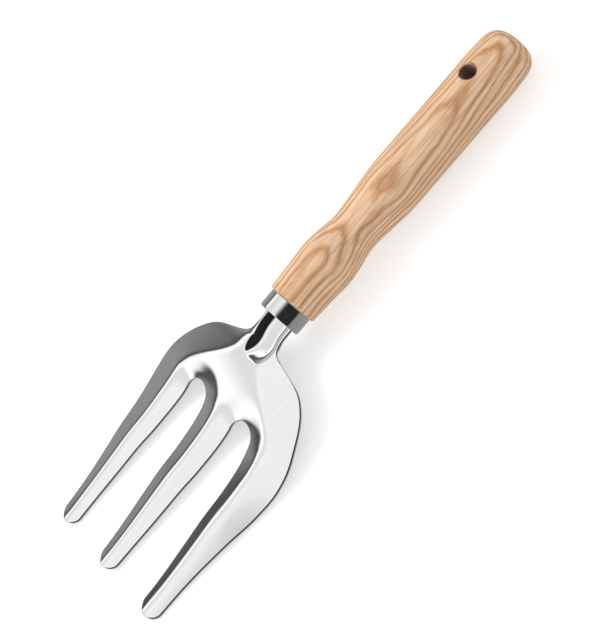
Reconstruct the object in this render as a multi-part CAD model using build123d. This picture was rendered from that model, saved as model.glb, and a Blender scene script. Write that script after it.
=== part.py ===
from build123d import *
import math
import os

# Three-tine hand fork.  Millimetres.  It is drawn with X along the handle, tines toward +X,
# the ferrule's front edge at X = 0 and the handle's axis at Z = 0, then laid down on Z = 0.

# --- fork head: pressed stainless sheet ---
sheet = 1.8              # sheet thickness
head_length = 144.6      # ferrule front to the tine tips
head_width = 101.8       # widest place, across the shoulders
neck_inside = 1.5        # the neck's edges stop this far inside the ferrule's outside
neck_length = 8.0        # straight part of the neck before the shoulders
tip_radius = 6.4         # rounded end of each tine
tip_spacing = 35.5       # outer tine's tip centre from the centre line
slot_start = 46.8        # where each gap between tines begins
slot_end_radius = 6.7    # rounded blind end of each gap
slot_centre = 17.9       # gap's centre line from the fork's centre line
middle_root_width = 21.0   # middle tine near its root
middle_tip_width = 13.4    # middle tine just before its rounded end
outer_root_inside = 25.6   # outer tine's inner edge near its root
outer_tip_inside = 29.4    # outer tine's inner edge just before its rounded end

# --- the pressed shape of the sheet ---
neck_rise = 0.3          # plate height at the ferrule
pitch = 0.055            # steady fall of the plate per mm of length
crank_drop = 13.8        # extra fall through the shoulders
crank_begin = 5.0
crank_run = 80.0
crown = 0.0021           # across the head, drop per mm squared
crown_begin = 46.0       # the crown fades out along the tines
crown_run = 50.0
shoulder_crown = 0.0036  # extra crown where the shoulders leave the neck
ridge_height = 2.6       # each tine is pressed into a low ridge
trough_depth = 5.2       # open channel in the neck
trough_half = 6.6
trough_end = 19.5

# --- tang, inside the handle ---
tang_length = 62.0
tang_width = 7.0
tang_thick = 3.6
tang_gap = 0.1           # clearance of the tang in its socket

# --- ferrule ---
ferrule_length = 9.2
ferrule_radius = 11.2
ferrule_wall = 1.05
ferrule_round = 0.9
fit_gap = 0.05           # clearance of the ferrule on the handle's spigot
spigot_setback = 1.5     # wood ends this far inside the ferrule's front edge

# --- handle: turned ash ---
handle_length = 160.9    # ferrule's rear edge to the butt
grip_radius = 14.2
bulb_radius = 14.1
waist_radius = 11.8
shoulder_radius = 12.75
butt_round = 3.6
butt_dome = 1.6
hole_radius = 4.0
hole_from_butt = 27.5
hole_round = 0.7

overlap = 1.2            # how far the tang runs into the neck's sheet


def ease(t):
    t = max(0.0, min(1.0, t))
    return t * t * (3 - 2 * t)


def plate_centre(x):
    """Height of the pressed sheet along the fork's centre line."""
    run = ease(max(0.0, (x - crank_begin) / crank_run) ** 1.4)
    return neck_rise - pitch * x - crank_drop * run


def plate_crown(x):
    fade = 1 - ease((x - crown_begin) / crown_run)
    return crown * fade + shoulder_crown * math.exp(-max(0.0, x - 16) / 9)


def tine_ridge(x, y):
    """Each tine is a low ridge, so the sheet falls toward both edges of every gap."""
    half = slot_centre + 1.1 - 1.5 * max(0.0, (x - slot_start) / (head_length - slot_start))
    rise = ease((x - 42) / 25) * (1 - 0.6 * ease((x - 90) / 50))
    return ridge_height * rise * math.sin(math.pi * y / (2 * half)) ** 2


def neck_trough(x, y):
    """The open channel in the neck, ending in a rounded U on the plate."""
    along = max(0.0, (x - (trough_end - 9)) / 9)
    distance = math.hypot(y / trough_half, along)
    return trough_depth * (1 - ease((distance - 0.35) / 0.65))


def sheet_height(x, y):
    fall = plate_crown(x) * y * y + tine_ridge(x, y) + neck_trough(x, y)
    return plate_centre(x) - fall


def mirrored(points):
    return [(x, -y) for x, y in points]


# ---------------------------------------------------------------- fork_head
neck_width = 2 * (ferrule_radius - neck_inside)   # flat width of the rolled neck
neck_half = neck_width / 2
wide = head_width / 2
tip_x = head_length - tip_radius

grid = []
x_steps = 62
y_steps = 52
x_low = -spigot_setback - 2
x_high = head_length + 2
for i in range(x_steps + 1):
    x = x_low + (x_high - x_low) * i / x_steps
    row = []
    for j in range(y_steps + 1):
        y = (wide + 3) * (2 * j / y_steps - 1)
        row.append(Vector(x, y, sheet_height(x, y)))
    grid.append(row)
top_face = Face.make_surface_from_array_of_points(
    grid, tol=0.05, smoothing=(1, 1, 1), min_deg=3, max_deg=6
)
above = Solid.extrude(top_face, Vector(0, 0, 90))
below = Solid.extrude(top_face.moved(Location((0, 0, -sheet))), Vector(0, 0, -90))

# Outer edge of the right half: neck, quick fillet, shoulder, outer tine.
shoulder = [
    (neck_length - 1, neck_half),
    (11.6, neck_half + 1.2),
    (14.1, 0.29 * wide),
    (16.2, 0.42 * wide),
    (20.4, 0.645 * wide),
    (27.5, 0.795 * wide),
    (37, 0.905 * wide),
    (48, 0.98 * wide),
    (60, wide),
    (75, 0.975 * wide),
    (93, 0.925 * wide),
    (113, 0.875 * wide),
    (tip_x - 6, tip_spacing + 1.16 * tip_radius),
]
outer_tip = (head_length, tip_spacing)
outer_tip_out = (tip_x + 0.5, tip_spacing + 0.98 * tip_radius)
outer_tip_in = (tip_x - 0.5, tip_spacing - 0.99 * tip_radius)
slot_x = slot_start + slot_end_radius
outer_inner_edge = [
    outer_tip_in,
    (tip_x - 9, outer_tip_inside),
    (tip_x - 38, 0.6 * outer_tip_inside + 0.4 * outer_root_inside),
    (slot_x + 14, outer_root_inside + 0.3),
    (slot_x + 2, slot_centre + slot_end_radius + 0.1),
]
middle_edge = [
    (slot_x + 2, slot_centre - slot_end_radius - 0.1),
    (slot_x + 14, middle_root_width / 2),
    (tip_x - 38, 0.55 * middle_root_width / 2 + 0.45 * middle_tip_width / 2),
    (tip_x - 9, middle_tip_width / 2),
    (tip_x - 0.5, 0.99 * tip_radius),
]

with BuildPart() as head_builder:
    with BuildSketch(Plane.XY.offset(-45)):
        with BuildLine():
            for side in (1, -1):
                neck_start = (-spigot_setback, side * neck_half)
                edge = [(x, side * y) for x, y in shoulder]
                Line(neck_start, edge[0])
                Spline(*edge, (outer_tip_out[0], side * outer_tip_out[1]))
                ThreePointArc(
                    (outer_tip_out[0], side * outer_tip_out[1]),
                    (outer_tip[0], side * outer_tip[1]),
                    (outer_tip_in[0], side * outer_tip_in[1]),
                )
                Spline(*[(x, side * y) for x, y in outer_inner_edge])
                ThreePointArc(
                    (outer_inner_edge[-1][0], side * outer_inner_edge[-1][1]),
                    (slot_start, side * slot_centre),
                    (middle_edge[0][0], side * middle_edge[0][1]),
                )
                Spline(*[(x, side * y) for x, y in middle_edge])
            ThreePointArc(
                (middle_edge[-1][0], middle_edge[-1][1]),
                (head_length, 0),
                (middle_edge[-1][0], -middle_edge[-1][1]),
            )
            Line((-spigot_setback, neck_half), (-spigot_setback, -neck_half))
        make_face()
    extrude(amount=80)
head_plate = head_builder.part.solids()[0].cut(above).solids()[0]
head_plate = head_plate.cut(below).solids()[0]

# Tang: a plain tapered strip, welded under the neck's channel and run into the handle.
neck_bottom = sheet_height(-spigot_setback, 0) - sheet
tang_low = neck_bottom
with BuildPart() as tang_builder:
    with BuildSketch(Plane.XY.offset(tang_low)):
        with BuildLine():
            Polyline(
                (-spigot_setback + overlap, tang_width / 2),
                (-tang_length + 14, tang_width / 2),
                (-tang_length, tang_width / 4),
                (-tang_length, -tang_width / 4),
                (-tang_length + 14, -tang_width / 2),
                (-spigot_setback + overlap, -tang_width / 2),
                close=True,
            )
        make_face()
    extrude(amount=tang_thick)
tang = tang_builder.part.solids()[0]
fork_head = head_plate.fuse(tang).solids()[0]

# ---------------------------------------------------------------- ferrule
ferrule_bore = ferrule_radius - ferrule_wall
with BuildPart() as ferrule_builder:
    with BuildSketch(Plane.XZ):
        with BuildLine():
            Polyline(
                (-ferrule_length, ferrule_bore),
                (0, ferrule_bore),
                (0, ferrule_radius - ferrule_round),
            )
            RadiusArc(
                (0, ferrule_radius - ferrule_round),
                (-ferrule_round, ferrule_radius),
                -ferrule_round,
            )
            Polyline(
                (-ferrule_round, ferrule_radius),
                (-ferrule_length, ferrule_radius),
                (-ferrule_length, ferrule_bore),
            )
        make_face()
    revolve(axis=Axis.X)
ferrule = ferrule_builder.part.solids()[0]

# ---------------------------------------------------------------- handle
wood_front = -ferrule_length - fit_gap
butt = -ferrule_length - handle_length
spigot_radius = ferrule_bore - fit_gap
bulb_x = wood_front - 0.155 * handle_length
waist_x = wood_front - 0.272 * handle_length
grip_x = wood_front - 0.47 * handle_length
grip_end = butt + 15
round_out = butt + 5.5
with BuildPart() as handle_builder:
    with BuildSketch(Plane.XZ):
        with BuildLine():
            Polyline(
                (butt, 0),
                (-spigot_setback, 0),
                (-spigot_setback, spigot_radius),
                (wood_front, spigot_radius),
                (wood_front, shoulder_radius - 1.1),
            )
            RadiusArc(
                (wood_front, shoulder_radius - 1.1),
                (wood_front - 1.1, shoulder_radius),
                1.1,
            )
            Spline(
                (wood_front - 1.1, shoulder_radius),
                (0.5 * wood_front + 0.5 * bulb_x - 3, 0.45 * shoulder_radius + 0.55 * bulb_radius),
                (bulb_x, bulb_radius),
                (0.55 * bulb_x + 0.45 * waist_x, 0.33 * waist_radius + 0.67 * bulb_radius),
                (waist_x, waist_radius),
                (0.6 * waist_x + 0.4 * grip_x, 0.64 * waist_radius + 0.36 * grip_radius),
                (0.18 * waist_x + 0.82 * grip_x, 0.08 * waist_radius + 0.92 * grip_radius),
                (grip_x - 12, grip_radius),
                tangents=[(-1, 0.02), (-1, 0)],
            )
            Line((grip_x - 12, grip_radius), (grip_end, grip_radius))
            Spline(
                (grip_end, grip_radius),
                (round_out, grip_radius - 1.2),
                (butt + butt_dome, grip_radius - 1.2 - butt_round),
                (butt, 0),
                tangents=[(-1, 0), (0, -1)],
            )
        make_face()
    revolve(axis=Axis.X)
turned = handle_builder.part.solids()[0]
hole_x = butt + hole_from_butt
bore = Cylinder(hole_radius, 60).moved(Location((hole_x, 0, 0)))
turned = turned.cut(bore).solids()[0]
hole_edges = [
    e for e in turned.edges()
    if abs(e.center().X - hole_x) < 1.3 * hole_radius and abs(e.center().Z) > 0.8 * grip_radius
    and e.length < 2.4 * math.pi * hole_radius
]
turned = turned.fillet(hole_round, hole_edges).solids()[0]
socket_width = tang_width + 2 * tang_gap
socket_thick = tang_thick + 2 * tang_gap
socket_deep = tang_length + 1
socket = Box(
    socket_deep, socket_width, socket_thick, align=(Align.MAX, Align.CENTER, Align.MIN)
).moved(Location((0, 0, tang_low - tang_gap)))
handle = turned.cut(socket).solids()[0]

# ---------------------------------------------------------------- lay the fork on Z = 0
head_points = [(v.X, v.Z) for v in fork_head.tessellate(0.05)[0]]
handle_points = [(v.X, v.Z) for v in handle.tessellate(0.05)[0]]


def lowest(points, angle):
    return min(x * math.sin(angle) + z * math.cos(angle) for x, z in points)


low_angle = 0.0
high_angle = math.radians(6)
for step in range(40):
    middle = (low_angle + high_angle) / 2
    if lowest(head_points, middle) < lowest(handle_points, middle):
        low_angle = middle
    else:
        high_angle = middle
rest_tilt = (low_angle + high_angle) / 2
rest_height = -lowest(handle_points, rest_tilt)

pieces = {"fork_head": fork_head, "ferrule": ferrule, "handle": handle}
tilted = {}
for name, piece in pieces.items():
    tilted[name] = piece.rotate(Axis.Y, -math.degrees(rest_tilt))
ends = [solid.bounding_box() for solid in tilted.values()]
mid_x = (min(b.min.X for b in ends) + max(b.max.X for b in ends)) / 2

os.makedirs("parts", exist_ok=True)
for name, piece in tilted.items():
    placed = piece.moved(Location((-mid_x, 0, rest_height)))
    export_step(placed, "parts/" + name + ".step")
    box = placed.bounding_box()
    print(name, "valid", placed.is_valid, "volume", round(placed.volume, 1))
    print("  low", [round(v, 3) for v in box.min], "high", [round(v, 3) for v in box.max])
print("rest tilt degrees", round(math.degrees(rest_tilt), 4))
print("rest height", round(rest_height, 4), "mid x", round(mid_x, 4))
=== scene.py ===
import bpy
import bmesh
import math
from mathutils import Matrix, Vector
from mathutils.kdtree import KDTree


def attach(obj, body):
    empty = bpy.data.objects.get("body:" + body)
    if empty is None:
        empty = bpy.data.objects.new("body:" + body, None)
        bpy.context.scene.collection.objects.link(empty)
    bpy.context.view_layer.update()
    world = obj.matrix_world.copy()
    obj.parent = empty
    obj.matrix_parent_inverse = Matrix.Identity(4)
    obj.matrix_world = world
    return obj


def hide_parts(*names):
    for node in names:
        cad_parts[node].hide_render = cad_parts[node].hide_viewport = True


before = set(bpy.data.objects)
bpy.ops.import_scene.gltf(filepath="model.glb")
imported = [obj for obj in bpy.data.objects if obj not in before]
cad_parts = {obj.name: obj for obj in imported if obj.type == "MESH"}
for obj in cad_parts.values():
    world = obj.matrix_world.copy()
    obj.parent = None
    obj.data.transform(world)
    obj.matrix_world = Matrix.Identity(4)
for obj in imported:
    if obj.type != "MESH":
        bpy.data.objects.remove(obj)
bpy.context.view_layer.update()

# ------------------------------------------------------------------ fork head
# The head is one blank of stainless sheet, cut to shape, pressed into a crowned plate with a
# low ridge down each tine and an open channel for a neck, then tumbled and mirror polished.
# Its tang is hidden in the handle.

sheet = 1.8              # millimetres, as are all the sizes below
edge_round = sheet / 2
head_length = 144.6
wide = 50.9              # half the greatest width
neck_half = 9.7
neck_length = 8.0        # straight part of the neck in front of the ferrule
neck_back = -1.5         # the sheet starts this far inside the ferrule
tip_radius = 6.8
tip_spacing = 35.8       # outer tine's tip centre from the centre line
slot_start = 46.8        # where each gap between tines begins
slot_end_radius = 6.7
slot_centre = 17.9       # gap's middle from the centre line
middle_root = 10.5       # half the middle tine's width near its root
middle_tip = 7.1
outer_root_inside = 25.6   # outer tine's inner edge near its root
outer_tip_inside = 29.0
tip_x = head_length - tip_radius
slot_x = slot_start + slot_end_radius

neck_rise = 0.3          # the plate's height at the ferrule
pitch = 0.055            # its steady fall for each millimetre of length
crank_begin = 5.0        # where the shoulders start to drop
crank_run = 80.0
crank_drop = 13.8
crown = 0.0021           # drop across the head for each square millimetre
shoulder_crown = 0.0036  # extra crown where the shoulders leave the neck
fold_round = 1.1         # softness of the fold along each crest
ridge_slope = 0.33       # side faces of each tine's ridge
ridge_straight = 0.33    # share of a tine's width that its side face takes
ridge_turn = 0.29        # share over which it levels off
trough_depth = 4.2       # the neck's open channel
trough_half = 7.8
trough_end = 20.5
trough_run_out = 11.0    # length over which its floor rises to the plate
trough_lean = 2.8        # sideways drift of its end
lip_round = 0.3

rest_tilt = math.radians(1.9804)   # the fork lies on its butt and tines
middle_x = -12.4024
rest_height = 19.7488


def row_point(x, y, z):
    """A point given along the handle's axis, in millimetres, as the frame's metres."""
    along = x * math.cos(rest_tilt) - z * math.sin(rest_tilt) - middle_x
    up = x * math.sin(rest_tilt) + z * math.cos(rest_tilt) + rest_height
    return Vector((along / 1000, y / 1000, up / 1000))


def row_direction(x, y, z):
    along = x * math.cos(rest_tilt) - z * math.sin(rest_tilt)
    up = x * math.sin(rest_tilt) + z * math.cos(rest_tilt)
    return Vector((along, y, up))


def ease(t):
    t = max(0.0, min(1.0, t))
    return t * t * (3 - 2 * t)


def smooth_line(points, step):
    """Evenly spaced points on a smooth curve through a few given ones."""
    given = [Vector(p) for p in points]
    given = [2 * given[0] - given[1]] + given + [2 * given[-1] - given[-2]]
    line = []
    for i in range(1, len(given) - 2):
        a, b, c, d = given[i - 1:i + 3]
        gap_0 = max(0.001, (b - a).length) ** 0.5
        gap_1 = max(0.001, (c - b).length) ** 0.5
        gap_2 = max(0.001, (d - c).length) ** 0.5
        leave = ((b - a) / gap_0 - (c - a) / (gap_0 + gap_1) + (c - b) / gap_1) * gap_1
        arrive = ((c - b) / gap_1 - (d - b) / (gap_1 + gap_2) + (d - c) / gap_2) * gap_1
        count = max(1, round((c - b).length / step))
        for k in range(count):
            t = k / count
            place = (2 * t ** 3 - 3 * t ** 2 + 1) * b + (t ** 3 - 2 * t ** 2 + t) * leave
            place += (3 * t ** 2 - 2 * t ** 3) * c + (t ** 3 - t ** 2) * arrive
            line.append(place)
    line.append(Vector(points[-1]))
    return line


def arc_line(centre, radius, start, end, step):
    count = max(2, round(abs(end - start) * radius / step))
    line = []
    for k in range(count + 1):
        angle = start + (end - start) * k / count
        x = centre[0] + radius * math.cos(angle)
        y = centre[1] + radius * math.sin(angle)
        line.append(Vector((x, y)))
    return line


def side_lines(step):
    """Outer edge, tip, gap edge and middle tine of the half with Y above 0."""
    outer = smooth_line([
        (neck_back, neck_half),
        (neck_length - 1, neck_half),
        (11.6, neck_half + 1.2),
        (14.1, 0.29 * wide),
        (16.2, 0.42 * wide),
        (20.4, 0.645 * wide),
        (27.5, 0.795 * wide),
        (37, 0.905 * wide),
        (48, 0.98 * wide),
        (60, wide),
        (75, 0.975 * wide),
        (93, 0.925 * wide),
        (113, 0.87 * wide),
        (125, 0.848 * wide),
        (tip_x + 0.5, tip_spacing + 0.99 * tip_radius),
    ], step)
    tip = arc_line((tip_x, tip_spacing), tip_radius, 1.45, -1.45, step)
    gap_outside = smooth_line([
        (tip_x - 0.5, tip_spacing - 0.99 * tip_radius),
        (tip_x - 9, outer_tip_inside),
        (tip_x - 38, 0.6 * outer_tip_inside + 0.4 * outer_root_inside),
        (slot_x + 14, outer_root_inside + 0.3),
        (slot_x + 2, slot_centre + slot_end_radius + 0.1),
    ], step)
    gap_end = arc_line((slot_x, slot_centre), slot_end_radius, 1.45, 2 * math.pi - 1.45, step)
    gap_inside = smooth_line([
        (slot_x + 2, slot_centre - slot_end_radius - 0.1),
        (slot_x + 14, middle_root),
        (tip_x - 38, 0.55 * middle_root + 0.45 * middle_tip),
        (tip_x - 9, middle_tip),
        (tip_x - 0.5, 0.99 * tip_radius),
    ], step)
    middle_end = arc_line((tip_x, 0), tip_radius, 1.45, 0, step)
    return outer, tip, gap_outside, gap_end, gap_inside, middle_end


def mirror_line(line):
    return [Vector((p.x, -p.y)) for p in line]


def crest_line(x):
    """How far from the centre line the sheet folds down, from the neck out to the outer tines."""
    spread = ease((x - 19.5) / 30)
    return 7.9 + 27.4 * spread + 1.5 * max(0.0, (x - 60) / 85)


def rim_distance(x):
    """Half the head's width, from the neck across the shoulders and along the outer tines."""
    shoulder = 1 - math.exp(-max(0.0, x - 11.5) / 9.5)
    return neck_half + (wide - neck_half) * shoulder - 10.5 * ease((x - 58) / 85)


def crown_at(x):
    """The crown fades out along the tines and is stronger where the shoulders begin."""
    return crown * (1 - ease((x - 46) / 50)) + shoulder_crown * math.exp(-max(0.0, x - 16) / 9)


def plate_height(x, y):
    """The cranked plate, nearly flat between its two crests and sloping down outside them."""
    run = ease(max(0.0, (x - crank_begin) / crank_run) ** 1.4)
    centre = neck_rise - pitch * x - crank_drop * run
    inner = 0.0007 * ease((x - 14) / 12)
    slope = 0.40 - 0.14 * ease((x - 8) / 14) + 0.04 * ease((x - 50) / 30)
    rim = rim_distance(x)
    rim_height = centre - crown_at(x) * rim * rim - 1.2 * ease((x - 42) / 25)
    top = rim_height + inner * rim * rim + slope * max(0.0, rim - crest_line(x))
    top += (centre - top) * (1 - ease((x - 9) / 9))
    top -= 0.9 * math.exp(-((x - 29) / 9) ** 2)
    outside = (abs(y) - crest_line(x)) / fold_round
    folded = fold_round * (outside if outside > 30 else math.log(1 + math.exp(outside)))
    return top - inner * y * y - slope * folded


def ridge_side(distance, x):
    """Height gained going in from one edge; it levels off near the tine's middle."""
    width = 21 - 9 * max(0.0, min(1.0, (x - 65) / 74))
    part = distance / width
    fade = 0.36 + 0.64 * ease((x - 43) / 16)
    turn = max(0.0, min(1.0, (part - ridge_straight) / ridge_turn))
    gained = min(part, ridge_straight) + ridge_turn * (turn - turn ** 3 + turn ** 4 / 2)
    return ridge_slope * fade * width * (gained - 0.475)


def distance_to(line, tree, place):
    """Shortest way to a line of points."""
    index, best = tree.find((place.x, place.y, 0))[1:]
    for a, b in ((index - 1, index), (index, index + 1)):
        if a < 0 or b >= len(line):
            continue
        way = line[b] - line[a]
        t = max(0.0, min(1.0, (place - line[a]).dot(way) / max(1e-9, way.length_squared)))
        best = min(best, (place - line[a] - t * way).length)
    return best


def line_tree(line):
    tree = KDTree(len(line))
    for i, p in enumerate(line):
        tree.insert((p.x, p.y, 0), i)
    tree.balance()
    return tree


def channel_depth(x, y, plate):
    """How far the neck's open channel lies below the plate: a broad floor that rises to its end,
    steep sides and a crisp lip."""
    rise = max(0.0, x - (trough_end - trough_run_out)) / trough_run_out
    across = abs(y - trough_lean * ease((x - 4) / 14)) / trough_half
    if rise > 1.5 or across > 1.5:
        return 0.0
    channel = neck_rise - pitch * x - trough_depth * (1 - across ** 4 - rise * rise)
    return lip_round * math.log(1 + math.exp((plate - channel) / lip_round))


def pressed_height(x, y, edges):
    """Height of the finished sheet's top over one point of the blank."""
    place = Vector((x, y))
    ridge = 0.0
    for line, tree in edges:
        ridge += ridge_side(distance_to(line, tree, place), x)
    plate = plate_height(x, y)
    return plate + ridge - channel_depth(x, y, plate)


def make_head():
    step = 0.35
    outer, tip, gap_outside, gap_end, gap_inside, middle_end = side_lines(step)
    half = outer + tip[1:] + gap_outside[1:] + gap_end[1:] + gap_inside[1:] + middle_end[1:]
    edge = half + list(reversed(mirror_line(half)))[1:]
    outline = [p for i, p in enumerate(edge) if (p - edge[i - 1]).length > 0.05]
    outline_tree = line_tree(outline)

    # The edge of each gap, which its ridges rise from.
    outer_end = Vector((head_length + 4, gap_outside[0].y))
    inner_end = Vector((head_length + 4, gap_inside[-1].y))
    gap_line = smooth_line([outer_end, gap_outside[0]], step) + gap_outside[1:] + gap_end[1:]
    gap_line += gap_inside[1:] + smooth_line([gap_inside[-1], inner_end], step)[1:]
    edges = [(drawn, line_tree(drawn)) for drawn in (gap_line, mirror_line(gap_line))]

    # The flat blank, a rounded edge's width inside the outline, cut into a fine grid.
    mesh = bmesh.new()
    count = len(outline)
    ring = []
    for i in range(0, count, 2):
        along = (outline[(i + 1) % count] - outline[i - 1]).normalized()
        inset = outline[i] - edge_round * Vector((-along.y, along.x))
        ring.append(mesh.verts.new((inset.x, inset.y, 0)))
    mesh.faces.new(ring)
    x = neck_back + 0.35
    while x < head_length:
        bmesh.ops.bisect_plane(
            mesh, geom=mesh.verts[:] + mesh.edges[:] + mesh.faces[:], dist=1e-3,
            plane_co=(x, 0, 0), plane_no=(1, 0, 0))
        x += 0.4 if x < 24 else 1.0
    y = -wide + 0.4
    while y < wide:
        bmesh.ops.bisect_plane(
            mesh, geom=mesh.verts[:] + mesh.edges[:] + mesh.faces[:], dist=1e-3,
            plane_co=(0, y, 0), plane_no=(0, 1, 0))
        y += 0.4 if abs(y) < 12 else 1.0
    mesh.verts.ensure_lookup_table()
    mesh.verts.index_update()
    mesh.normal_update()
    if sum(f.normal.z * f.calc_area() for f in mesh.faces) < 0:
        bmesh.ops.reverse_faces(mesh, faces=mesh.faces[:])

    # Press it, and take each normal from the slope of the formula, not from the facets.
    places = []
    normals = []
    for v in mesh.verts:
        x, y = v.co.x, v.co.y
        reach = 0.35 if x < 26 and abs(y) < 12 else 0.7
        rise_x = pressed_height(x + reach, y, edges) - pressed_height(x - reach, y, edges)
        rise_y = pressed_height(x, y + reach, edges) - pressed_height(x, y - reach, edges)
        places.append(Vector((x, y, pressed_height(x, y, edges))))
        normals.append(Vector((-rise_x, -rise_y, 2 * reach)).normalized())

    # Top and underside, joined by a half-round edge.
    directions = list(normals)
    faces = [[v.index for v in f.verts] for f in mesh.faces]
    top_count = len(places)
    under_faces = [[i + top_count for i in reversed(f)] for f in faces]
    starts = {}
    for e in mesh.edges:
        if len(e.link_faces) == 1:
            loop = e.link_loops[0]
            starts[loop.vert.index] = loop.link_loop_next.vert.index
    first = next(iter(starts))
    loop_line = [first]
    while starts[loop_line[-1]] != first:
        loop_line.append(starts[loop_line[-1]])
    places += [p - sheet * n for p, n in zip(places[:top_count], normals)]
    directions += [-n for n in normals]
    total = len(loop_line)
    bands = 6
    outs = []
    for i in loop_line:
        here = Vector((places[i].x, places[i].y))
        index = outline_tree.find((here.x, here.y, 0))[1]
        near = []
        for a in (index - 1, index):
            way = outline[(a + 1) % count] - outline[a]
            t = max(0.0, min(1.0, (here - outline[a]).dot(way) / way.length_squared))
            near.append(outline[a] + t * way)
        near.sort(key=lambda p: (p - here).length)
        flat = (near[0] - here).normalized()
        out = Vector((flat.x, flat.y, 0))
        outs.append((out - out.dot(directions[i]) * directions[i]).normalized())
    rows = [list(loop_line)]
    for k in range(1, bands):
        angle = math.pi / 2 - math.pi * k / bands
        row = []
        for i, out in zip(loop_line, outs):
            facing = (math.cos(angle) * out + math.sin(angle) * directions[i]).normalized()
            row.append(len(places))
            places.append(places[i] - edge_round * directions[i] + edge_round * facing)
            directions.append(facing)
        rows.append(row)
    rows.append([i + top_count for i in loop_line])
    side_faces = []
    for above, below in zip(rows, rows[1:]):
        for j in range(total):
            k = (j + 1) % total
            side_faces.append([above[k], above[j], below[j], below[k]])
    data = bpy.data.meshes.new("pressed_fork_head")
    data.from_pydata([row_point(*p) for p in places], [], faces + under_faces + side_faces)
    data.update()
    for face in data.polygons:
        face.use_smooth = True
    data.normals_split_custom_set_from_vertices([row_direction(*n) for n in directions])
    mesh.free()
    piece = bpy.data.objects.new("pressed_fork_head", data)
    bpy.context.scene.collection.objects.link(piece)
    return piece


def hex_colour(code):
    """An sRGB colour as the linear one that a shader takes."""
    parts = [int(code[i:i + 2], 16) / 255 for i in (1, 3, 5)]
    linear = [p / 12.92 if p <= 0.04045 else ((p + 0.055) / 1.055) ** 2.4 for p in parts]
    return (*linear, 1.0)


def add_node(tree, kind, settings=None, links=None):
    """One node with its own settings, socket values and incoming links."""
    node = tree.nodes.new(kind)
    for name, value in (settings or {}).items():
        if name in node.inputs:
            node.inputs[name].default_value = value
        else:
            setattr(node, name, value)
    for name, source in (links or {}).items():
        tree.links.new(source, node.inputs[name])
    return node


# Mirror-polished stainless steel: bright, nearly colourless, with a faint ripple from the press
# and short hairlines from the buffing wheel that only soften its reflections.
steel = bpy.data.materials.new("mirror_polished_stainless_steel")
steel.use_nodes = True
tree = steel.node_tree
tree.nodes.clear()
where = add_node(tree, "ShaderNodeTexCoord")
long_way = add_node(
    tree, "ShaderNodeMapping", {"Scale": (60, 1400, 1400)},
    {"Vector": where.outputs["Object"]})
hairlines = add_node(
    tree, "ShaderNodeTexNoise", {"Scale": 1.0, "Detail": 3.0},
    {"Vector": long_way.outputs[0]})
ripple = add_node(
    tree, "ShaderNodeTexNoise", {"Scale": 60.0, "Detail": 1.0},
    {"Vector": where.outputs["Object"]})
rough = add_node(
    tree, "ShaderNodeMapRange", {"To Min": 0.05, "To Max": 0.09},
    {"Value": hairlines.outputs[0]})
dent = add_node(
    tree, "ShaderNodeBump", {"Strength": 0.02, "Distance": 0.0004},
    {"Height": ripple.outputs[0]})
tint = add_node(tree, "ShaderNodeValToRGB", None, {"Fac": hairlines.outputs[0]})
tint.color_ramp.elements[0].color = hex_colour("#DADBDC")
tint.color_ramp.elements[1].color = hex_colour("#E9E9E8")
surface = add_node(
    tree, "ShaderNodeBsdfPrincipled", {"Metallic": 1.0},
    {"Base Color": tint.outputs[0], "Roughness": rough.outputs[0], "Normal": dent.outputs[0]})
add_node(tree, "ShaderNodeOutputMaterial", None, {"Surface": surface.outputs[0]})

head = make_head()
head.data.materials.append(steel)
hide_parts("fork_head")
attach(head, "root")

# ------------------------------------------------------------------ ferrule
# A short drawn steel collar, bright finished, pressed over the handle's turned spigot so that
# the wood can't split. Its front edge is rounded over.

ferrule_length = 9.2
ferrule_radius = 11.2
ferrule_wall = 1.05
ferrule_round = 1.4


def turned_piece(name, profile, sides):
    """A closed piece turned about the handle's axis from (x, radius) points."""
    mesh = bmesh.new()
    rows = []
    for x, radius in profile:
        if radius < 1e-6:
            rows.append([mesh.verts.new(row_point(x, 0, 0))])
            continue
        row = []
        for k in range(sides):
            angle = 2 * math.pi * k / sides
            row.append(mesh.verts.new(row_point(x, radius * math.cos(angle), radius * math.sin(angle))))
        rows.append(row)
    for a, b in zip(rows, rows[1:]):
        for k in range(sides):
            n = (k + 1) % sides
            if len(a) == 1:
                mesh.faces.new((a[0], b[k], b[n]))
            elif len(b) == 1:
                mesh.faces.new((a[n], a[k], b[0]))
            else:
                mesh.faces.new((a[n], a[k], b[k], b[n]))
    if len(rows[0]) > 1 and len(rows[-1]) > 1:
        for k in range(sides):
            n = (k + 1) % sides
            mesh.faces.new((rows[-1][n], rows[-1][k], rows[0][k], rows[0][n]))
    bmesh.ops.recalc_face_normals(mesh, faces=mesh.faces[:])
    data = bpy.data.meshes.new(name)
    mesh.to_mesh(data)
    mesh.free()
    for face in data.polygons:
        face.use_smooth = True
    piece = bpy.data.objects.new(name, data)
    bpy.context.scene.collection.objects.link(piece)
    return piece


def smooth_by_angle(piece, degrees):
    for other in bpy.context.selected_objects:
        other.select_set(False)
    bpy.context.view_layer.objects.active = piece
    piece.select_set(True)
    bpy.ops.object.shade_smooth_by_angle(angle=math.radians(degrees))
    piece.select_set(False)


inside = ferrule_radius - ferrule_wall
collar = [(-ferrule_length, inside), (-0.5, inside)]
for k in range(1, 5):
    angle = math.pi * k / 8
    collar.append((-0.5 + 0.5 * math.sin(angle), inside + 0.5 - 0.5 * math.cos(angle)))
for k in range(9):
    angle = math.pi / 2 * k / 8
    collar.append((
        -ferrule_round + ferrule_round * math.cos(angle),
        ferrule_radius - 0.5 * (1 - math.sin(angle))))
collar.append((-ferrule_length + 0.25, ferrule_radius))
collar.append((-ferrule_length, ferrule_radius - 0.25))
ferrule = turned_piece("bright_steel_ferrule", collar, 128)
smooth_by_angle(ferrule, 40)

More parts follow.
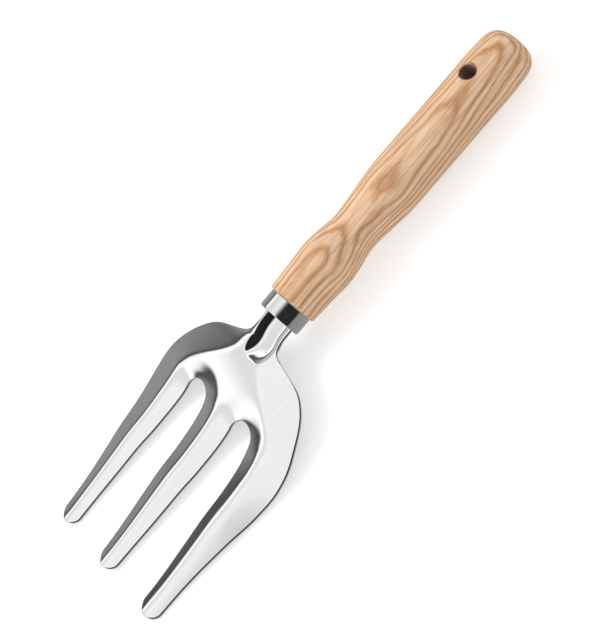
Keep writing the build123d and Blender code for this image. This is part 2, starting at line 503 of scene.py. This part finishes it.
# Drawn bright steel: slightly softer than the head, with turning lines round the collar.
collar_steel = bpy.data.materials.new("bright_drawn_steel")
collar_steel.use_nodes = True
tree = collar_steel.node_tree
tree.nodes.clear()
where = add_node(tree, "ShaderNodeTexCoord")
round_way = add_node(
    tree, "ShaderNodeMapping", {"Scale": (2600, 60, 60)},
    {"Vector": where.outputs["Object"]})
turning = add_node(
    tree, "ShaderNodeTexNoise", {"Scale": 1.0, "Detail": 2.0},
    {"Vector": round_way.outputs[0]})
rough = add_node(
    tree, "ShaderNodeMapRange", {"To Min": 0.08, "To Max": 0.2},
    {"Value": turning.outputs[0]})
dent = add_node(
    tree, "ShaderNodeBump", {"Strength": 0.05, "Distance": 0.0001},
    {"Height": turning.outputs[0]})
surface = add_node(
    tree, "ShaderNodeBsdfPrincipled", {"Metallic": 1.0, "Base Color": hex_colour("#DCDBD8")},
    {"Roughness": rough.outputs[0], "Normal": dent.outputs[0]})
add_node(tree, "ShaderNodeOutputMaterial", None, {"Surface": surface.outputs[0]})
ferrule.data.materials.append(collar_steel)
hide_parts("ferrule")
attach(ferrule, "root")

# ------------------------------------------------------------------ handle
# Ash, turned between centres to a grip with a waist and bulb, sanded and lightly oiled, with a
# hanging hole drilled through near its domed butt.

handle_length = 160.9
grip_radius = 14.2
bulb_radius = 14.1
waist_radius = 11.8
shoulder_radius = 12.75
hole_radius = 4.0
mouth_radius = 4.6       # where the hole's edge is eased
hole_from_butt = 27.5
wood_front = -ferrule_length - 0.05
butt = -ferrule_length - handle_length
bulb_x = wood_front - 0.155 * handle_length
waist_x = wood_front - 0.272 * handle_length
grip_x = wood_front - 0.47 * handle_length
spigot = inside - 0.05

turned_line = [Vector((-1.5, 0.0)), Vector((-1.5, spigot)), Vector((wood_front, spigot))]
turned_line.append(Vector((wood_front, shoulder_radius - 1.3)))
for k in range(1, 6):
    angle = math.pi / 2 * k / 6
    turned_line.append(Vector((
        wood_front - 1.3 * (1 - math.cos(angle)), shoulder_radius - 1.3 + 1.3 * math.sin(angle))))
turned_line += smooth_line([
    (wood_front - 1.3, shoulder_radius),
    (0.5 * wood_front + 0.5 * bulb_x - 3, 0.45 * shoulder_radius + 0.55 * bulb_radius),
    (bulb_x, bulb_radius),
    (0.55 * bulb_x + 0.45 * waist_x, 0.33 * waist_radius + 0.67 * bulb_radius),
    (waist_x, waist_radius),
    (0.6 * waist_x + 0.4 * grip_x, 0.64 * waist_radius + 0.36 * grip_radius),
    (0.18 * waist_x + 0.82 * grip_x, 0.08 * waist_radius + 0.92 * grip_radius),
    (grip_x - 12, grip_radius),
    (butt + 40, grip_radius),
    (butt + 15, grip_radius),
    (butt + 5.5, grip_radius - 1.2),
    (butt + 2.1, 10.6),
    (butt + 0.7, 7.4),
    (butt + 0.1, 2.5),
    (butt, 0.0),
], 0.9)
handle = turned_piece("turned_ash_handle", [(p.x, max(0.0, p.y)) for p in turned_line], 160)

# The drill's path through the handle, a little flared at both mouths.
hole_x = butt + hole_from_butt
drill = bmesh.new()
rings = []
drill_line = [
    (-20, mouth_radius), (-14.0, mouth_radius), (-13.1, hole_radius),
    (13.1, hole_radius), (14.0, mouth_radius), (20, mouth_radius),
]
for height, radius in drill_line:
    ring = []
    for k in range(64):
        angle = 2 * math.pi * k / 64
        ring.append(drill.verts.new(row_point(
            hole_x + radius * math.cos(angle), radius * math.sin(angle), height)))
    rings.append(ring)
for a, b in zip(rings, rings[1:]):
    for k in range(64):
        drill.faces.new((a[k], a[(k + 1) % 64], b[(k + 1) % 64], b[k]))
drill.faces.new(list(reversed(rings[0])))
drill.faces.new(rings[-1])
bmesh.ops.recalc_face_normals(drill, faces=drill.faces[:])
drill_mesh = bpy.data.meshes.new("drill_path")
drill.to_mesh(drill_mesh)
drill.free()
drill_path = bpy.data.objects.new("drill_path", drill_mesh)
bpy.context.scene.collection.objects.link(drill_path)
cut = handle.modifiers.new("hanging_hole", "BOOLEAN")
cut.operation = "DIFFERENCE"
cut.solver = "EXACT"
cut.object = drill_path
bpy.context.view_layer.objects.active = handle
bpy.ops.object.modifier_apply(modifier=cut.name)
bpy.data.objects.remove(drill_path)
smooth_by_angle(handle, 35)

handle.visible_glossy = False   # kept out of the polished head's reflections

# Sanded, oiled ash: pale pinkish tan with brown growth lines that run the length and close into
# ovals where the turning crosses them, and short dark open pores.
ash = bpy.data.materials.new("sanded_oiled_ash")
ash.use_nodes = True
tree = ash.node_tree
tree.nodes.clear()
where = add_node(tree, "ShaderNodeTexCoord")
bent = add_node(tree, "ShaderNodeMapping", {"Scale": (9, 60, 60)}, {"Vector": where.outputs["Object"]})
drift = add_node(
    tree, "ShaderNodeTexNoise", {"Scale": 1.0, "Detail": 2.0, "Roughness": 0.45},
    {"Vector": bent.outputs[0]})
shift = add_node(tree, "ShaderNodeVectorMath", {"operation": "SUBTRACT"}, {0: drift.outputs["Color"]})
shift.inputs[1].default_value = (0.5, 0.5, 0.5)
reach = add_node(tree, "ShaderNodeVectorMath", {"operation": "MULTIPLY"}, {0: shift.outputs[0]})
reach.inputs[1].default_value = (0.0, 0.008, 0.008)
moved = add_node(
    tree, "ShaderNodeVectorMath", {"operation": "ADD"},
    {0: where.outputs["Object"], 1: reach.outputs[0]})
pith = add_node(
    tree, "ShaderNodeMapping",
    {"Location": (0.0, 0.021, 0.030), "Rotation": (0.0, math.radians(-1.2), math.radians(1.4))},
    {"Vector": moved.outputs[0]})
years = add_node(
    tree, "ShaderNodeTexWave",
    {"wave_type": "RINGS", "rings_direction": "X", "wave_profile": "SIN", "Scale": 150.0,
     "Distortion": 1.6, "Detail": 3.0, "Detail Scale": 0.55},
    {"Vector": pith.outputs[0]})
growth = add_node(tree, "ShaderNodeValToRGB", None, {"Fac": years.outputs["Fac"]})
ramp = growth.color_ramp
ramp.elements[0].position = 0.0
ramp.elements[0].color = hex_colour("#DCBA9B")
ramp.elements[1].position = 1.0
ramp.elements[1].color = hex_colour("#B98B63")
late = ramp.elements.new(0.55)
late.color = hex_colour("#D6B08D")
line = ramp.elements.new(0.86)
line.color = hex_colour("#C79E77")
fibre_way = add_node(
    tree, "ShaderNodeMapping", {"Scale": (24, 820, 820)},
    {"Vector": where.outputs["Object"]})
fibre = add_node(
    tree, "ShaderNodeTexNoise", {"Scale": 1.0, "Detail": 4.0, "Roughness": 0.6},
    {"Vector": fibre_way.outputs[0]})
pore_way = add_node(
    tree, "ShaderNodeMapping", {"Scale": (110, 2600, 2600)},
    {"Vector": where.outputs["Object"]})
pore = add_node(
    tree, "ShaderNodeTexNoise", {"Scale": 1.0, "Detail": 1.0},
    {"Vector": pore_way.outputs[0]})
pore_dark = add_node(
    tree, "ShaderNodeMapRange",
    {"From Min": 0.58, "From Max": 0.72, "To Min": 0.0, "To Max": 1.0}, {"Value": pore.outputs[0]})
pore_where = add_node(
    tree, "ShaderNodeMapRange",
    {"From Min": 0.4, "From Max": 0.95, "To Min": 0.15, "To Max": 0.8}, {"Value": years.outputs["Fac"]})
pore_amount = add_node(
    tree, "ShaderNodeMath", {"operation": "MULTIPLY"},
    {0: pore_dark.outputs[0], 1: pore_where.outputs[0]})
fibre_tone = add_node(tree, "ShaderNodeValToRGB", None, {"Fac": fibre.outputs[0]})
fibre_tone.color_ramp.elements[0].position = 0.37
fibre_tone.color_ramp.elements[0].color = (0.70, 0.63, 0.56, 1.0)
fibre_tone.color_ramp.elements[1].position = 0.6
fibre_tone.color_ramp.elements[1].color = (1.0, 1.0, 1.0, 1.0)
grained = add_node(
    tree, "ShaderNodeMix", {"data_type": "RGBA", "blend_type": "MULTIPLY"})
grained.inputs[0].default_value = 0.8
tree.links.new(growth.outputs[0], grained.inputs[6])
tree.links.new(fibre_tone.outputs[0], grained.inputs[7])
pored = add_node(tree, "ShaderNodeMix", {"data_type": "RGBA", "blend_type": "MIX"})
tree.links.new(pore_amount.outputs[0], pored.inputs[0])
tree.links.new(grained.outputs[2], pored.inputs[6])
pored.inputs[7].default_value = hex_colour("#94663F")
# The drilled hole's wall is painted dark near its axis: painted shade for the shadow deep inside the
# hole.
flat = add_node(tree, "ShaderNodeMapping", {"Scale": (1, 1, 0)}, {"Vector": where.outputs["Object"]})
drilled = add_node(tree, "ShaderNodeVectorMath", {"operation": "DISTANCE"}, {0: flat.outputs[0]})
drilled.inputs[1].default_value = (row_point(hole_x, 0, 0).x, 0.0, 0.0)
hole_painted_shade = add_node(
    tree, "ShaderNodeMapRange",
    {"From Min": (hole_radius + 0.15) / 1000, "From Max": (hole_radius + 0.7) / 1000,
     "To Min": 0.92, "To Max": 0.0},
    {"Value": drilled.outputs["Value"]})
finished = add_node(tree, "ShaderNodeMix", {"data_type": "RGBA", "blend_type": "MIX"})
tree.links.new(hole_painted_shade.outputs[0], finished.inputs[0])
tree.links.new(pored.outputs[2], finished.inputs[6])
finished.inputs[7].default_value = hex_colour("#4B2E1F")
pit = add_node(
    tree, "ShaderNodeBump", {"Strength": 0.35, "Distance": 0.00012, "invert": True},
    {"Height": pore_amount.outputs[0]})
rough = add_node(tree, "ShaderNodeMapRange", {"To Min": 0.42, "To Max": 0.6}, {"Value": fibre.outputs[0]})
surface = add_node(
    tree, "ShaderNodeBsdfPrincipled", {"IOR": 1.45},
    {"Base Color": finished.outputs[2], "Roughness": rough.outputs[0], "Normal": pit.outputs[0]})
add_node(tree, "ShaderNodeOutputMaterial", None, {"Surface": surface.outputs[0]})
handle.data.materials.clear()
handle.data.materials.append(ash)
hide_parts("handle")
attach(handle, "root")

# ------------------------------------------------------------------ floor
# A plain white studio table, lit a little from within so that it stays white. It takes the
# fork's soft shadow.

bpy.ops.object.select_all(action="DESELECT")
bpy.ops.mesh.primitive_plane_add(size=6, location=(0, 0, 0))
floor = bpy.context.active_object
floor.name = "studio_floor"
floor.visible_glossy = False
white = bpy.data.materials.new("lit_white_table")
white.use_nodes = True
table = white.node_tree.nodes["Principled BSDF"]
table.inputs["Base Color"].default_value = (0.56, 0.56, 0.56, 1)
table.inputs["Roughness"].default_value = 0.9
table.inputs["Emission Color"].default_value = (1.0, 1.0, 1.0, 1.0)
table.inputs["Emission Strength"].default_value = 0.50
floor.data.materials.append(white)

# ------------------------------------------------------------------ studio light
# A long softbox overhead and to the far side, a dark flag on the near side and grey elsewhere
# for what the polished steel mirrors, an even light for the rest, and a key light for shadows.

studio = bpy.data.worlds.new("soft_studio")
bpy.context.scene.world = studio
studio.use_nodes = True
tree = studio.node_tree
tree.nodes.clear()
where = add_node(tree, "ShaderNodeTexCoord")
parts = add_node(tree, "ShaderNodeSeparateXYZ", None, {0: where.outputs["Generated"]})
turn = add_node(
    tree, "ShaderNodeMath", {"operation": "ARCTAN2"},
    {0: parts.outputs[2], 1: parts.outputs[1]})
around = add_node(
    tree, "ShaderNodeMapRange",
    {"From Min": -math.pi, "From Max": math.pi, "To Min": 0.0, "To Max": 1.0}, {"Value": turn.outputs[0]})
room = add_node(tree, "ShaderNodeValToRGB", None, {"Fac": around.outputs[0]})
ramp = room.color_ramp


def at_degrees(degrees):
    return (degrees + 180) / 360


# Degrees up from the near horizon, over the top to the far one at 180, and the brightness there.
stops = [
    (-180, 0.42), (-90, 0.40), (-8, 0.33), (0, 0.02), (66, 0.012), (75, 0.3), (86, 1.1),
    (102, 1.15), (114, 0.98), (130, 0.94), (139, 1.35), (147, 1.3), (149.5, 0.9), (152.5, 0.07),
    (157, 0.11), (165, 0.31), (180, 0.40),
]
while len(ramp.elements) > 1:
    ramp.elements.remove(ramp.elements[0])
ramp.elements[0].position = 0.0
ramp.elements[0].color = (stops[0][1],) * 3 + (1.0,)
for degrees, value in stops[1:]:
    stop = ramp.elements.new(at_degrees(degrees))
    stop.color = (value, value, value, 1.0)
seen = add_node(tree, "ShaderNodeBackground", {"Strength": 1.0}, {"Color": room.outputs[0]})
even = add_node(tree, "ShaderNodeBackground", {"Strength": 0.96, "Color": (1.0, 1.0, 1.0, 1.0)})
ray = add_node(tree, "ShaderNodeLightPath")
either = add_node(tree, "ShaderNodeMixShader", None, {0: ray.outputs["Is Glossy Ray"]})
tree.links.new(even.outputs[0], either.inputs[1])
tree.links.new(seen.outputs[0], either.inputs[2])
add_node(tree, "ShaderNodeOutputWorld", None, {"Surface": either.outputs[0]})

key = bpy.data.lights.new("key_softbox", "AREA")
key.shape = "RECTANGLE"
key.size = 0.5
key.size_y = 0.35
key.energy = 4.5
key_light = bpy.data.objects.new("key_softbox", key)
bpy.context.scene.collection.objects.link(key_light)
key_light.location = (0.30, -0.45, 0.65)
aim = Vector((0.02, 0.0, 0.0)) - key_light.location
key_light.rotation_euler = aim.to_track_quat("-Z", "Y").to_euler()
key_light.visible_glossy = False

# ------------------------------------------------------------------ camera
# From the fork's right, 54 degrees up, turned so that the handle rises to the right.

lens = bpy.data.cameras.new("camera")
lens.sensor_fit = "VERTICAL"
lens.sensor_height = 32
lens.lens = 65.9
camera = bpy.data.objects.new("camera", lens)
bpy.context.scene.collection.objects.link(camera)
back = Vector((0.0, 0.588, 0.809))
camera_distance = 613    # millimetres, from the point that it looks at
stand = Vector((-6.3, 6.17, -4.49)) + camera_distance * back
right = row_direction(-0.652, 0.614, -0.446)
up = row_direction(-0.759, -0.527, 0.383)
behind = row_direction(*back)
turned = Matrix((right, up, behind)).transposed().to_4x4()
camera.matrix_world = Matrix.Translation(row_point(*stand)) @ turned
bpy.context.scene.camera = camera
bpy.context.scene.view_settings.view_transform = "Standard"
